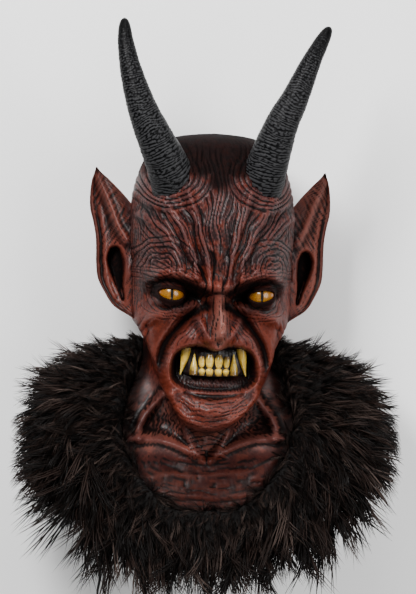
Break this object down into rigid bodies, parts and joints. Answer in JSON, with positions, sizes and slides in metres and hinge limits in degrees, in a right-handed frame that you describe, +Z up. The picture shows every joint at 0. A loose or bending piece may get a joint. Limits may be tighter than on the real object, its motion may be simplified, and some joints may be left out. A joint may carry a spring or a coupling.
{
  "type": "horned demon mask",
  "caption": "Over-the-head latex demon mask with ridged horns, pointed ears, bared fangs, a chest bib and a long fur collar, lying face up.",
  "frame": {"origin": "centre of the bounding box on the floor that the mask's back lies on", "axes": "+X to the right of the face as seen from the front, +Y from the chest to the horns, +Z up out of the face"},
  "size_m": [0.3832, 0.61, 0.2159],
  "materials": {
    "latex_skin": "painted latex, dark red with black shading in the wrinkles",
    "horn": "black painted latex with grey dry-brushed ridges",
    "eye": "clear-coated amber with a black slit pupil",
    "tooth": "yellowed ivory, glossy",
    "fur": "long-haired pile, brown black"
  },
  "bodies": {
    "root": {"mask_skin": "latex_skin", "horn_left": "horn", "horn_right": "horn", "eye_left": "eye", "eye_right": "eye", "teeth": "tooth", "fur_collar": "fur"}
  },
  "joints": []
}
